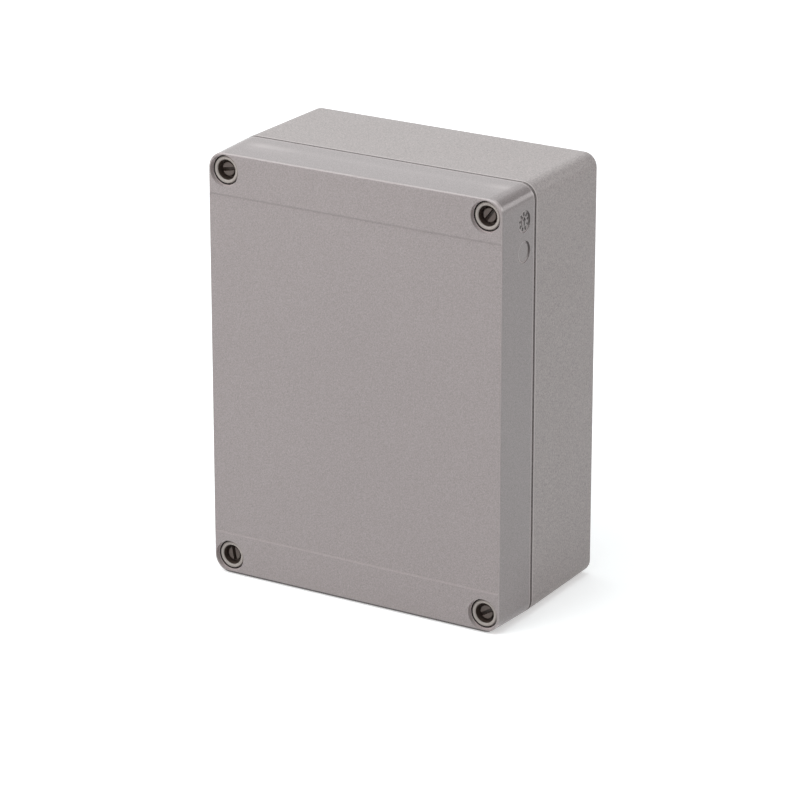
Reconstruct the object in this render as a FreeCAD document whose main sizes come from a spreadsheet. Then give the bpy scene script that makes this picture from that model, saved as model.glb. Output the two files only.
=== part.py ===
"""Hinged polycarbonate enclosure, 150 x 200 x 85 mm.

Frame: the origin is the centre of the flat back face, +Z is up, +X is to the
right seen from the front, and the front looks along -Y.  Depths are counted
from the back face towards the front, so a depth d lies at y = -d.

The drawings on the XZ plane look along -Y, which makes their own height above
the plane the same thing as the depth.
"""
import FreeCAD, Part
import math
import os
import Sketcher

os.makedirs("parts", exist_ok=True)

SIZES = [
    # outside of the case
    ("case_width", 150.0),
    ("case_height", 200.0),
    ("case_depth", 85.0),
    ("lid_depth", 28.0),
    ("face_draft", 0.5),
    ("back_draft_side", 0.7),
    ("back_draft_end", 0.55),
    ("case_corner", 7.2),
    ("face_corner", 7.8),
    ("back_corner", 6.4),
    ("face_edge_round", 0.75),
    ("back_edge_round", 1.2),
    ("seam_round", 0.35),
    ("seam_gap", 1.0),
    # inside of the case
    ("wall", 4.0),
    ("back_thickness", 3.0),
    ("corner_block_width", 20.0),
    ("corner_block_height", 33.0),
    ("inner_corner", 3.6),
    ("rib_width", 1.6),
    ("rib_height", 3.0),
    ("groove_inner_play", 1.5),
    ("groove_outer_play", 0.5),
    ("groove_depth", 5.0),
    ("skirt_thickness", 1.5),
    ("lid_skin", 3.2),
    ("gasket_side_play", 0.05),
    ("gasket_rib_play", 0.1),
    # front panel
    ("panel_side_inset", 0.65),
    ("panel_end_inset", 19.8),
    ("panel_corner", 1.5),
    ("panel_sink", 0.25),
    # lid screws
    ("screw_side_inset", 8.7),
    ("screw_end_inset", 8.7),
    ("recess_radius", 7.3),
    ("recess_step", 2.0),
    ("head_bore_radius", 6.6),
    ("recess_sink", 9.2),
    ("lid_bore_radius", 2.9),
    ("retainer_bore_radius", 5.1),
    ("retainer_sink", 9.7),
    ("retainer_radius", 5.0),
    ("retainer_hole", 2.25),
    ("retainer_thickness", 1.0),
    ("seal_thickness", 1.5),
    ("seal_outer", 5.5),
    ("seal_inner", 2.2),
    ("head_radius", 6.3),
    ("head_height", 6.0),
    ("head_round", 0.5),
    ("socket_radius", 4.6),
    ("socket_bevel", 0.4),
    ("socket_depth", 4.6),
    ("lug_root_radius", 4.0),
    ("lug_top_radius", 3.0),
    ("lug_drop", 2.0),
    ("slot_width", 1.7),
    ("neck_radius", 2.0),
    ("thread_radius", 2.5),
    ("thread_above_seam", 1.0),
    ("screw_reach", 6.5),
    ("tip_bevel", 0.8),
    # brass inserts for the lid screws
    ("insert_radius", 4.2),
    ("insert_length", 10.0),
    ("insert_play", 0.02),
    ("insert_bore", 2.8),
    ("insert_mouth", 3.15),
    ("insert_mouth_depth", 2.2),
    ("relief_radius", 3.2),
    ("relief_depth", 13.5),
    # wells and holes for fixing the case to a wall
    ("well_side_inset", 9.0),
    ("well_end_inset", 22.0),
    ("well_half", 6.0),
    ("well_corner", 1.2),
    ("well_floor", 4.0),
    ("lid_well_end_inset", 18.5),
    ("lid_well_skin", 3.6),
    ("wall_hole_radius", 2.3),
    # bosses for a mounting plate
    ("boss_side_inset", 30.0),
    ("boss_end_inset", 20.0),
    ("boss_radius", 4.8),
    ("boss_top", 13.0),
    ("boss_insert_radius", 2.8),
    ("boss_insert_length", 8.0),
    ("boss_insert_bore", 1.65),
    # hinges on the left side
    ("hinge_end_inset", 40.0),
    ("hinge_out", 6.5),
    ("hinge_behind_seam", 4.0),
    ("knuckle_radius", 4.0),
    ("leaf_height", 26.0),
    ("knuckle_span", 25.0),
    ("middle_gap", 10.4),
    ("middle_knuckle", 10.0),
    ("knuckle_room", 0.3),
    ("leaf_thickness", 3.0),
    ("base_leaf_far", 25.0),
    ("base_leaf_near", 4.4),
    ("lid_leaf_near", 1.5),
    ("lid_leaf_far", 20.0),
    ("base_web_far", 8.0),
    ("lid_web_near", 3.4),
    ("lid_web_far", 3.0),
    ("lid_web_play", 0.3),
    ("pin_radius", 1.5),
    ("pin_fit", 0.02),
    ("pin_run", 0.06),
    ("pin_head_radius", 2.4),
    ("pin_head_height", 0.9),
    ("leaf_screw_spread", 8.5),
    ("base_screw_from_seam", 17.0),
    ("lid_screw_from_seam", 12.5),
    ("leaf_hole_radius", 1.5),
    ("leaf_hole_depth", 2.5),
    ("leaf_screw_radius", 1.45),
    ("leaf_screw_reach", 2.3),
    ("leaf_screw_head", 2.7),
    ("leaf_screw_head_height", 1.5),
    ("leaf_slot_width", 0.8),
    ("leaf_slot_depth", 0.7),
    # mould marks on the right side of the lid
    ("mark_from_seam", 9.2),
    ("mark_high_inset", 14.3),
    ("mark_low_inset", 27.9),
    ("mark_radius", 4.9),
    ("mark_sink", 0.55),
    ("mark_hub_radius", 2.1),
    ("mark_hub_sink", 0.3),
]

doc = FreeCAD.newDocument("enclosure")
sheet = doc.addObject("Spreadsheet::Sheet", "dims")
for row, (alias, number) in enumerate(SIZES, start=1):
    sheet.set("A%d" % row, alias)
    sheet.set("B%d" % row, repr(number))
    sheet.setAlias("B%d" % row, alias)
doc.recompute()


class Size:
    """A length that keeps its number together with its formula for the sheet."""

    def __init__(self, value, text):
        self.value = float(value)
        self.text = text

    def __add__(self, other):
        other = as_size(other)
        return Size(self.value + other.value, "(%s + %s)" % (self.text, other.text))

    def __sub__(self, other):
        other = as_size(other)
        return Size(self.value - other.value, "(%s - %s)" % (self.text, other.text))

    def __mul__(self, other):
        other = as_size(other)
        return Size(self.value * other.value, "(%s * %s)" % (self.text, other.text))

    def __truediv__(self, other):
        other = as_size(other)
        return Size(self.value / other.value, "(%s / %s)" % (self.text, other.text))

    def __neg__(self):
        return Size(-self.value, "(0 - %s)" % self.text)


def as_size(thing):
    """Turn a plain number into a Size and leave a Size alone."""
    if isinstance(thing, Size):
        return thing
    return Size(thing, repr(float(thing)))


def cell(alias):
    """The Size of one named cell of the sheet."""
    return Size(dict(SIZES)[alias], "dims." + alias)


def bind(target, path, size):
    """Tie a property to the formula of a Size."""
    target.setExpression(path, as_size(size).text)


def seam():
    """Depth of the middle of the seam."""
    return cell("case_depth") - cell("lid_depth")


def base_rim():
    """Depth of the base's rim."""
    return seam() - cell("seam_gap") / 2


def lid_rim():
    """Depth of the lid's rim."""
    return seam() + cell("seam_gap") / 2


def from_side(alias):
    """X of something that keeps its distance from the case's side."""
    return cell("case_width") / 2 - cell(alias)


def from_end(alias):
    """Z of something that keeps its distance from the case's upper end."""
    return cell("case_height") / 2 - cell(alias)


def back_outline():
    """The corners of the back face."""
    wide = cell("case_width") - cell("back_draft_side") * 2
    tall = cell("case_height") - cell("back_draft_end") * 2
    return centred_box(wide, tall, cell("back_corner"))


def seam_outline():
    """The corners of the case at the seam, where it is largest."""
    return centred_box(cell("case_width"), cell("case_height"), cell("case_corner"))


def face_outline():
    """The corners of the front face."""
    wide = cell("case_width") - cell("face_draft") * 2
    tall = cell("case_height") - cell("face_draft") * 2
    return centred_box(wide, tall, cell("face_corner"))


def base_side(depth):
    """Half the width of the base at a depth, following its draft."""
    draft = cell("back_draft_side")
    return cell("case_width") / 2 - draft + draft * depth / base_rim()


def lid_side(depth):
    """Half the width of the lid at a depth, following its draft."""
    draft = cell("face_draft")
    length = cell("case_depth") - lid_rim()
    return cell("case_width") / 2 - draft * (depth - lid_rim()) / length


def recess_floor():
    """Depth of the floor of the screw recesses."""
    return cell("case_depth") - cell("recess_sink")


def hinge_x():
    """How far left of the middle the hinge pins stand."""
    return cell("case_width") / 2 + cell("hinge_out")


def hinge_depth():
    """Depth of the hinge pins."""
    return seam() - cell("hinge_behind_seam")


def leaf_front():
    """How far left of the middle the hinge leaves reach."""
    return cell("case_width") / 2 + cell("leaf_thickness")


def new_body(name, x=0, z=0, turn=0):
    """A body with its own label, standing at x, z and turned about the Y axis."""
    body = doc.addObject("PartDesign::Body", name)
    body.Label = name
    x = as_size(x)
    z = as_size(z)
    place = FreeCAD.Vector(x.value, 0, z.value)
    spin = FreeCAD.Rotation(FreeCAD.Vector(0, 1, 0), turn)
    body.Placement = FreeCAD.Placement(place, spin)
    if x.value:
        bind(body, ".Placement.Base.x", x)
    if z.value:
        bind(body, ".Placement.Base.z", z)
    return body


def new_sketch(body, role, offset=0):
    """A sketch on an origin plane of the body, raised by an offset."""
    planes = [f for f in body.Origin.OriginFeatures if f.Role == role]
    sketch = body.newObject("Sketcher::SketchObject", body.Name + "_sketch")
    sketch.AttachmentSupport = [(planes[0], "")]
    sketch.MapMode = "FlatFace"
    offset = as_size(offset)
    if offset.value:
        lift = FreeCAD.Placement(FreeCAD.Vector(0, 0, offset.value), FreeCAD.Rotation())
        sketch.AttachmentOffset = lift
        bind(sketch, ".AttachmentOffset.Base.z", offset)
    return sketch


def fix(sketch, kind, first, size, text=True):
    """Add one driving size to the sketch and tie it to the sheet."""
    number = sketch.addConstraint(Sketcher.Constraint(kind, *first, size.value))
    bind(sketch, "Constraints[%d]" % number, size)


def fix_point(sketch, direction, geometry, point, size):
    """Hold one coordinate of a point at a signed distance from the origin."""
    if abs(size.value) < 1e-9:
        axis = -2 if direction == "DistanceX" else -1
        sketch.addConstraint(Sketcher.Constraint("PointOnObject", geometry, point, axis))
    elif size.value > 0:
        fix(sketch, direction, (-1, 1, geometry, point), size)
    else:
        fix(sketch, direction, (geometry, point, -1, 1), -size)


def draw_circle(sketch, x, y, radius):
    """A circle about x, y."""
    x, y, radius = as_size(x), as_size(y), as_size(radius)
    centre = FreeCAD.Vector(x.value, y.value, 0)
    ring = Part.Circle(centre, FreeCAD.Vector(0, 0, 1), radius.value)
    index = sketch.addGeometry(ring, False)
    fix(sketch, "Radius", (index,), radius)
    fix_point(sketch, "DistanceX", index, 3, x)
    fix_point(sketch, "DistanceY", index, 3, y)


def draw_polygon(sketch, points):
    """A closed outline through the given points."""
    points = [(as_size(x), as_size(y)) for x, y in points]
    spots = [FreeCAD.Vector(x.value, y.value, 0) for x, y in points]
    count = len(points)
    lines = []
    for i in range(count):
        segment = Part.LineSegment(spots[i], spots[(i + 1) % count])
        lines.append(sketch.addGeometry(segment, False))
    for i in range(count):
        after = lines[(i + 1) % count]
        sketch.addConstraint(Sketcher.Constraint("Coincident", lines[i], 2, after, 1))
    for i, (x, y) in enumerate(points):
        fix_point(sketch, "DistanceX", lines[i], 1, x)
        fix_point(sketch, "DistanceY", lines[i], 1, y)


def draw_rounded(sketch, corners):
    """A closed outline of upright and level sides whose corners are arcs.

    Each corner is x, y, radius.  The sides join the arcs smoothly.
    """
    corners = [tuple(as_size(part) for part in corner) for corner in corners]
    count = len(corners)
    spots = [FreeCAD.Vector(x.value, y.value, 0) for x, y, r in corners]
    arrive, leave, arcs = [], [], []
    for i in range(count):
        radius = corners[i][2].value
        back = (spots[i - 1] - spots[i]).normalize()
        ahead = (spots[(i + 1) % count] - spots[i]).normalize()
        start = spots[i] + back * radius
        end = spots[i] + ahead * radius
        centre = spots[i] + (back + ahead) * radius
        left_turn = back.cross(ahead).z < 0
        first, last = (start, end) if left_turn else (end, start)
        circle = Part.Circle(centre, FreeCAD.Vector(0, 0, 1), radius)
        low = math.atan2(first.y - centre.y, first.x - centre.x)
        high = math.atan2(last.y - centre.y, last.x - centre.x)
        arcs.append((sketch.addGeometry(Part.ArcOfCircle(circle, low, high), False), left_turn))
        arrive.append(start)
        leave.append(end)
    lines = []
    for i in range(count):
        segment = Part.LineSegment(leave[i], arrive[(i + 1) % count])
        lines.append(sketch.addGeometry(segment, False))
    for i in range(count):
        arc, left_turn = arcs[i]
        enter, depart = (1, 2) if left_turn else (2, 1)
        sketch.addConstraint(Sketcher.Constraint("Tangent", lines[i - 1], 2, arc, enter))
        sketch.addConstraint(Sketcher.Constraint("Tangent", arc, depart, lines[i], 1))
        fix(sketch, "Radius", (arc,), corners[i][2])
    for i in range(count):
        x, y = corners[i][0], corners[i][1]
        following = spots[(i + 1) % count]
        if abs(following.x - spots[i].x) < 1e-6:
            sketch.addConstraint(Sketcher.Constraint("Vertical", lines[i]))
            fix_point(sketch, "DistanceX", lines[i], 1, x)
        else:
            sketch.addConstraint(Sketcher.Constraint("Horizontal", lines[i]))
            fix_point(sketch, "DistanceY", lines[i], 1, y)


def box_corners(low_x, high_x, low_y, high_y, radius):
    """The four corners of a rounded rectangle, anticlockwise."""
    return [
        (low_x, low_y, radius),
        (high_x, low_y, radius),
        (high_x, high_y, radius),
        (low_x, high_y, radius),
    ]


def centred_box(width, height, radius):
    """The corners of a rounded rectangle about the origin."""
    return box_corners(-width / 2, width / 2, -height / 2, height / 2, radius)


def inner_line(offset):
    """The cavity outline, moved outwards by an offset.

    It is a rectangle whose four corners are stepped inwards, so that the seal
    runs inside the corner blocks with their screws and fixing holes.
    """
    wide = cell("case_width") / 2 - cell("wall") + offset
    tall = cell("case_height") / 2 - cell("wall") + offset
    step_x = cell("case_width") / 2 - cell("corner_block_width") + offset
    step_z = cell("case_height") / 2 - cell("corner_block_height") + offset
    outward = cell("inner_corner") + offset
    inward = cell("inner_corner") - offset
    return [
        (wide, -step_z, outward),
        (wide, step_z, outward),
        (step_x, step_z, inward),
        (step_x, tall, outward),
        (-step_x, tall, outward),
        (-step_x, step_z, inward),
        (-wide, step_z, outward),
        (-wide, -step_z, outward),
        (-step_x, -step_z, inward),
        (-step_x, -tall, outward),
        (step_x, -tall, outward),
        (step_x, -step_z, inward),
    ]


def pad(body, sketch, length, middle=False, backwards=False):
    """Grow the sketch into a solid."""
    feature = body.newObject("PartDesign::Pad", body.Name + "_pad")
    feature.Profile = sketch
    length = as_size(length)
    feature.Length = length.value
    bind(feature, "Length", length)
    if middle:
        feature.Midplane = True
    feature.Reversed = backwards
    sketch.Visibility = False
    return feature


def pocket(body, sketch, length, towards=False, middle=False):
    """Cut the sketch away; towards cuts along the plane's own direction."""
    feature = body.newObject("PartDesign::Pocket", body.Name + "_pocket")
    feature.Profile = sketch
    length = as_size(length)
    feature.Length = length.value
    bind(feature, "Length", length)
    if middle:
        feature.Midplane = True
    feature.Reversed = towards
    sketch.Visibility = False
    return feature


def loft(body, first, last):
    """A solid between two outlines."""
    feature = body.newObject("PartDesign::AdditiveLoft", body.Name + "_loft")
    feature.Profile = first
    feature.Sections = [last]
    feature.Ruled = True
    return feature


def spin(body, sketch, axis):
    """A solid of revolution about the sketch's upright or level axis."""
    feature = body.newObject("PartDesign::Revolution", body.Name + "_spin")
    feature.Profile = sketch
    feature.ReferenceAxis = (sketch, [axis])
    feature.Angle = 360.0
    return feature


def round_edges(body, base, depth, radius):
    """Round the edges of a feature that lie in the plane at one depth."""
    doc.recompute()
    chosen = []
    for number, edge in enumerate(base.Shape.Edges, start=1):
        box = edge.BoundBox
        if abs(box.YMin + depth.value) < 0.01 and abs(box.YMax + depth.value) < 0.01:
            chosen.append("Edge%d" % number)
    feature = body.newObject("PartDesign::Fillet", body.Name + "_round")
    feature.Base = (base, chosen)
    feature.Radius = radius.value
    bind(feature, "Radius", radius)
    return feature


def four_corners(x, z):
    """The same spot in all four corners of the case."""
    return [(-x, z), (x, z), (-x, -z), (x, -z)]


def corner_wells(sketch, high):
    """Four rounded wells in the corner blocks, drawn on a sketch."""
    half = cell("well_half")
    centre_x = from_side("well_side_inset")
    low_z = from_end("well_end_inset") - half
    low_x = centre_x - half
    high_x = centre_x + half
    radius = cell("well_corner")
    draw_rounded(sketch, box_corners(low_x, high_x, low_z, high, radius))
    draw_rounded(sketch, box_corners(-high_x, -low_x, low_z, high, radius))
    draw_rounded(sketch, box_corners(low_x, high_x, -high, -low_z, radius))
    draw_rounded(sketch, box_corners(-high_x, -low_x, -high, -low_z, radius))


def base_screw_depth():
    """Depth of the small screws that hold the base's hinge leaves."""
    return seam() - cell("base_screw_from_seam")


def lid_screw_depth():
    """Depth of the small screws that hold the lid's hinge leaves."""
    return seam() + cell("lid_screw_from_seam")


def cut_leaf_holes(body, depth):
    """Blind holes in the left wall of a shell for the hinge screws."""
    sketch = new_sketch(body, "YZ_Plane", -(cell("case_width") / 2 + 0.5))
    for hinge in (from_end("hinge_end_inset"), -from_end("hinge_end_inset")):
        for side in (cell("leaf_screw_spread"), -cell("leaf_screw_spread")):
            draw_circle(sketch, -depth, hinge + side, cell("leaf_hole_radius"))
    pocket(body, sketch, cell("leaf_hole_depth") + 0.5, towards=True)


def make_base_shell():
    """The deep half: back, walls, seal rib, corner blocks and plate bosses."""
    body = new_body("base_shell")
    rim = base_rim()
    back = new_sketch(body, "XZ_Plane")
    draw_rounded(back, back_outline())
    front = new_sketch(body, "XZ_Plane", rim)
    draw_rounded(front, seam_outline())
    block = loft(body, back, front)
    block = round_edges(body, block, as_size(0), cell("back_edge_round"))
    round_edges(body, block, rim, cell("seam_round"))

    rib = new_sketch(body, "XZ_Plane", rim)
    draw_rounded(rib, inner_line(cell("rib_width")))
    pad(body, rib, cell("rib_height"))

    cavity = new_sketch(body, "XZ_Plane", rim + cell("rib_height"))
    draw_rounded(cavity, inner_line(as_size(0)))
    pocket(body, cavity, rim + cell("rib_height") - cell("back_thickness"))

    wells = new_sketch(body, "XZ_Plane", rim)
    corner_wells(wells, from_end("well_end_inset") + cell("well_half"))
    pocket(body, wells, rim - cell("well_floor"))

    bores = new_sketch(body, "XZ_Plane", rim)
    for x, z in four_corners(from_side("screw_side_inset"), from_end("screw_end_inset")):
        draw_circle(bores, x, z, cell("insert_radius"))
    pocket(body, bores, cell("insert_length"))

    reliefs = new_sketch(body, "XZ_Plane", rim)
    for x, z in four_corners(from_side("screw_side_inset"), from_end("screw_end_inset")):
        draw_circle(reliefs, x, z, cell("relief_radius"))
    pocket(body, reliefs, cell("relief_depth"))

    bosses = new_sketch(body, "XZ_Plane", cell("back_thickness") - 0.5)
    for x, z in four_corners(from_side("boss_side_inset"), from_end("boss_end_inset")):
        draw_circle(bosses, x, z, cell("boss_radius"))
    pad(body, bosses, cell("boss_top") - cell("back_thickness") + 0.5)

    sockets = new_sketch(body, "XZ_Plane", cell("boss_top"))
    for x, z in four_corners(from_side("boss_side_inset"), from_end("boss_end_inset")):
        draw_circle(sockets, x, z, cell("boss_insert_radius"))
    pocket(body, sockets, cell("boss_insert_length"))

    holes = new_sketch(body, "XZ_Plane", cell("well_floor") + 1)
    for x, z in four_corners(from_side("well_side_inset"), from_end("well_end_inset")):
        draw_circle(holes, x, z, cell("wall_hole_radius"))
    pocket(body, holes, cell("well_floor") + 2)

    cut_leaf_holes(body, base_screw_depth())


def make_lid_shell():
    """The shallow half: face, screw recesses, seal groove and mould marks."""
    body = new_body("lid_shell")
    rim = lid_rim()
    face = cell("case_depth")
    rear = new_sketch(body, "XZ_Plane", rim)
    draw_rounded(rear, seam_outline())
    front = new_sketch(body, "XZ_Plane", face)
    draw_rounded(front, face_outline())
    block = loft(body, rear, front)
    block = round_edges(body, block, face, cell("face_edge_round"))
    round_edges(body, block, rim, cell("seam_round"))

    hollow = new_sketch(body, "XZ_Plane", rim)
    inside = -(cell("groove_inner_play") + cell("skirt_thickness"))
    draw_rounded(hollow, inner_line(inside))
    pocket(body, hollow, face - cell("lid_skin") - rim, towards=True)

    groove = new_sketch(body, "XZ_Plane", rim)
    draw_rounded(groove, inner_line(cell("rib_width") + cell("groove_outer_play")))
    draw_rounded(groove, inner_line(-cell("groove_inner_play")))
    pocket(body, groove, cell("groove_depth"), towards=True)

    wells = new_sketch(body, "XZ_Plane", rim)
    corner_wells(wells, from_end("lid_well_end_inset"))
    pocket(body, wells, face - cell("lid_well_skin") - rim, towards=True)

    recesses = new_sketch(body, "XZ_Plane", face)
    for x, z in four_corners(from_side("screw_side_inset"), from_end("screw_end_inset")):
        draw_circle(recesses, x, z, cell("recess_radius"))
    pocket(body, recesses, cell("recess_step"))

    head_bores = new_sketch(body, "XZ_Plane", face)
    for x, z in four_corners(from_side("screw_side_inset"), from_end("screw_end_inset")):
        draw_circle(head_bores, x, z, cell("head_bore_radius"))
    pocket(body, head_bores, face - recess_floor())

    bores = new_sketch(body, "XZ_Plane", face)
    for x, z in four_corners(from_side("screw_side_inset"), from_end("screw_end_inset")):
        draw_circle(bores, x, z, cell("lid_bore_radius"))
    pocket(body, bores, face - rim + 1)

    seats = new_sketch(body, "XZ_Plane", rim)
    for x, z in four_corners(from_side("screw_side_inset"), from_end("screw_end_inset")):
        draw_circle(seats, x, z, cell("retainer_bore_radius"))
    pocket(body, seats, cell("retainer_sink"), towards=True)

    panel = new_sketch(body, "XZ_Plane", face)
    wide = from_side("panel_side_inset")
    tall = from_end("panel_end_inset")
    draw_rounded(panel, box_corners(-wide, wide, -tall, tall, cell("panel_corner")))
    pocket(body, panel, cell("panel_sink"))

    marks = new_sketch(body, "YZ_Plane", cell("case_width") / 2 + 0.5)
    mark_y = -(seam() + cell("mark_from_seam"))
    for z in (from_end("mark_high_inset"), from_end("mark_low_inset")):
        draw_circle(marks, mark_y, z, cell("mark_radius"))
    pocket(body, marks, cell("mark_sink") + 0.5)

    hub = new_sketch(body, "YZ_Plane", from_side("mark_sink") - 0.5)
    draw_circle(hub, mark_y, from_end("mark_high_inset"), cell("mark_hub_radius"))
    pad(body, hub, cell("mark_sink") - cell("mark_hub_sink") + 0.5)

    cut_leaf_holes(body, lid_screw_depth())


def make_gasket():
    """The foamed seal that fills the bottom of the lid groove."""
    body = new_body("lid_gasket")
    top = lid_rim() + cell("groove_depth")
    low = base_rim() + cell("rib_height") + cell("gasket_rib_play")
    play = cell("gasket_side_play")
    ring = new_sketch(body, "XZ_Plane", low)
    draw_rounded(ring, inner_line(cell("rib_width") + cell("groove_outer_play") - play))
    draw_rounded(ring, inner_line(play - cell("groove_inner_play")))
    pad(body, ring, top - low)


def make_lid_screw(name, x, z, turn):
    """A captive lid screw: hollow head round a split cone, neck and thread."""
    body = new_body(name, x, z, turn)
    under = recess_floor() + cell("seal_thickness")
    top = under + cell("head_height")
    thread_top = seam() + cell("thread_above_seam")
    screw_tip = seam() - cell("screw_reach")
    head = cell("head_radius")
    edge = cell("head_round")
    rim = cell("socket_radius") + cell("socket_bevel")
    bottom = top - cell("socket_depth")
    lug_top = top - cell("lug_drop")
    profile = new_sketch(body, "XY_Plane")
    draw_polygon(profile, [
        (0, -lug_top),
        (cell("lug_top_radius"), -lug_top),
        (cell("lug_root_radius"), -bottom),
        (cell("socket_radius"), -bottom),
        (cell("socket_radius"), -(top - cell("socket_bevel"))),
        (rim, -top),
        (head - edge, -top),
        (head, -(top - edge)),
        (head, -under),
        (cell("neck_radius"), -under),
        (cell("neck_radius"), -thread_top),
        (cell("thread_radius"), -(thread_top - 0.5)),
        (cell("thread_radius"), -(screw_tip + cell("tip_bevel"))),
        (cell("thread_radius") - cell("tip_bevel"), -screw_tip),
        (0, -screw_tip),
    ])
    spin(body, profile, "V_Axis")

    slot = new_sketch(body, "XZ_Plane", top)
    half = cell("slot_width") / 2
    reach = cell("lug_root_radius") + 0.3
    draw_polygon(slot, [(-reach, -half), (reach, -half), (reach, half), (-reach, half)])
    pocket(body, slot, cell("socket_depth"))


def make_ring(name, x, z, inner, outer, low, high, bevel):
    """A flat ring about a screw axis, its outer edges bevelled."""
    body = new_body(name, x, z)
    profile = new_sketch(body, "XY_Plane")
    draw_polygon(profile, [
        (inner, -low),
        (outer - bevel, -low),
        (outer, -(low + bevel)),
        (outer, -(high - bevel)),
        (outer - bevel, -high),
        (inner, -high),
    ])
    spin(body, profile, "V_Axis")


def make_lid_insert(name, x, z):
    """A brass insert in the base with a lead-in for the lid screw."""
    body = new_body(name, x, z)
    top = base_rim()
    low = top - cell("insert_length")
    outer = cell("insert_radius") - cell("insert_play")
    profile = new_sketch(body, "XY_Plane")
    draw_polygon(profile, [
        (cell("insert_bore"), -low),
        (outer - 0.4, -low),
        (outer, -(low + 0.4)),
        (outer, -top),
        (cell("insert_mouth"), -top),
        (cell("insert_bore"), -(top - cell("insert_mouth_depth"))),
    ])
    spin(body, profile, "V_Axis")


def make_plate_insert(name, x, z):
    """A brass insert in a mounting plate boss."""
    body = new_body(name, x, z)
    top = cell("boss_top")
    low = top - cell("boss_insert_length")
    outer = cell("boss_insert_radius") - cell("insert_play")
    profile = new_sketch(body, "XY_Plane")
    draw_polygon(profile, [
        (cell("boss_insert_bore"), -low),
        (outer - 0.3, -low),
        (outer, -(low + 0.3)),
        (outer, -top),
        (cell("boss_insert_bore"), -top),
    ])
    spin(body, profile, "V_Axis")


def cut_leaf(body, depth):
    """Two plain holes for the small screws of one hinge leaf."""
    front = leaf_front()
    holes = new_sketch(body, "YZ_Plane", -(front + 0.5))
    for z in (cell("leaf_screw_spread"), -cell("leaf_screw_spread")):
        draw_circle(holes, -depth, z, cell("leaf_hole_radius"))
    pocket(body, holes, cell("leaf_thickness") + 2.5, towards=True)


def make_base_leaf(name, z):
    """The hinge half on the base: a plate and two knuckles."""
    body = new_body(name, 0, z)
    low = seam() - cell("base_leaf_far")
    high = seam() - cell("base_leaf_near")
    front = leaf_front()
    plate = new_sketch(body, "XY_Plane")
    draw_polygon(plate, [
        (-front, -low),
        (-base_side(low), -low),
        (-base_side(high), -high),
        (-front, -high),
    ])
    pad(body, plate, cell("leaf_height"), middle=True)
    far = seam() - cell("base_web_far")
    web = new_sketch(body, "XY_Plane")
    draw_polygon(web, [
        (-hinge_x(), -far),
        (-(front - 1), -far),
        (-(front - 1), -(high - 0.4)),
        (-hinge_x(), -hinge_depth()),
    ])
    pad(body, web, cell("knuckle_span"), middle=True)
    knuckle = new_sketch(body, "XY_Plane")
    draw_circle(knuckle, -hinge_x(), -hinge_depth(), cell("knuckle_radius"))
    pad(body, knuckle, cell("knuckle_span"), middle=True)
    room = new_sketch(body, "XY_Plane")
    reach = cell("knuckle_radius") + cell("knuckle_room")
    draw_circle(room, -hinge_x(), -hinge_depth(), reach)
    pocket(body, room, cell("middle_gap"), middle=True)
    bore = new_sketch(body, "XY_Plane")
    radius = cell("pin_radius") + cell("pin_fit")
    draw_circle(bore, -hinge_x(), -hinge_depth(), radius)
    pocket(body, bore, cell("knuckle_span") + 4, middle=True)
    cut_leaf(body, base_screw_depth())


def make_lid_leaf(name, z):
    """The hinge half on the lid: a plate, a web and the middle knuckle."""
    body = new_body(name, 0, z)
    low = seam() + cell("lid_leaf_near")
    high = seam() + cell("lid_leaf_far")
    front = leaf_front()
    plate = new_sketch(body, "XY_Plane")
    draw_polygon(plate, [
        (-front, -low),
        (-lid_side(low), -low),
        (-lid_side(high), -high),
        (-front, -high),
    ])
    pad(body, plate, cell("leaf_height"), middle=True)
    wall = cell("case_width") / 2 + cell("lid_web_play")
    near = seam() - cell("lid_web_near")
    far = seam() + cell("lid_web_far")
    web = new_sketch(body, "XY_Plane")
    draw_polygon(web, [
        (-(hinge_x() + 3), -hinge_depth()),
        (-(hinge_x() - 3), -near),
        (-wall, -near),
        (-wall, -far),
        (-front, -(far + 3)),
    ])
    pad(body, web, cell("middle_knuckle"), middle=True)
    knuckle = new_sketch(body, "XY_Plane")
    draw_circle(knuckle, -hinge_x(), -hinge_depth(), cell("knuckle_radius"))
    pad(body, knuckle, cell("middle_knuckle"), middle=True)
    bore = new_sketch(body, "XY_Plane")
    radius = cell("pin_radius") + cell("pin_run")
    draw_circle(bore, -hinge_x(), -hinge_depth(), radius)
    pocket(body, bore, cell("middle_knuckle") + 4, middle=True)
    cut_leaf(body, lid_screw_depth())


def make_hinge_pin(name, z):
    """A headed steel pin through the three knuckles."""
    body = new_body(name, 0, z)
    shank = new_sketch(body, "XY_Plane")
    draw_circle(shank, -hinge_x(), -hinge_depth(), cell("pin_radius"))
    pad(body, shank, cell("knuckle_span") + 1, middle=True)
    head = new_sketch(body, "XY_Plane", cell("knuckle_span") / 2)
    draw_circle(head, -hinge_x(), -hinge_depth(), cell("pin_head_radius"))
    pad(body, head, cell("pin_head_height"))


def make_leaf_screw(name, depth, z):
    """A small round-headed screw that holds a hinge leaf to the left wall."""
    body = new_body(name, 0, z)
    body.Placement.Base.y = -depth.value
    bind(body, ".Placement.Base.y", -depth)
    seat = leaf_front()
    top = seat + cell("leaf_screw_head_height")
    head = cell("leaf_screw_head")
    shank = cell("leaf_screw_radius")
    end = from_side("leaf_screw_reach")
    profile = new_sketch(body, "XY_Plane")
    draw_polygon(profile, [
        (-top, 0),
        (-top, head - 0.7),
        (-(top - 0.6), head),
        (-seat, head),
        (-seat, shank),
        (-end, shank),
        (-end, 0),
    ])
    spin(body, profile, "H_Axis")
    slot = new_sketch(body, "YZ_Plane", -(top + 0.2))
    half = cell("leaf_slot_width") / 2
    reach = head + 0.5
    draw_polygon(slot, [(-half, -reach), (half, -reach), (half, reach), (-half, reach)])
    pocket(body, slot, cell("leaf_slot_depth") + 0.2, towards=True)


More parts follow.
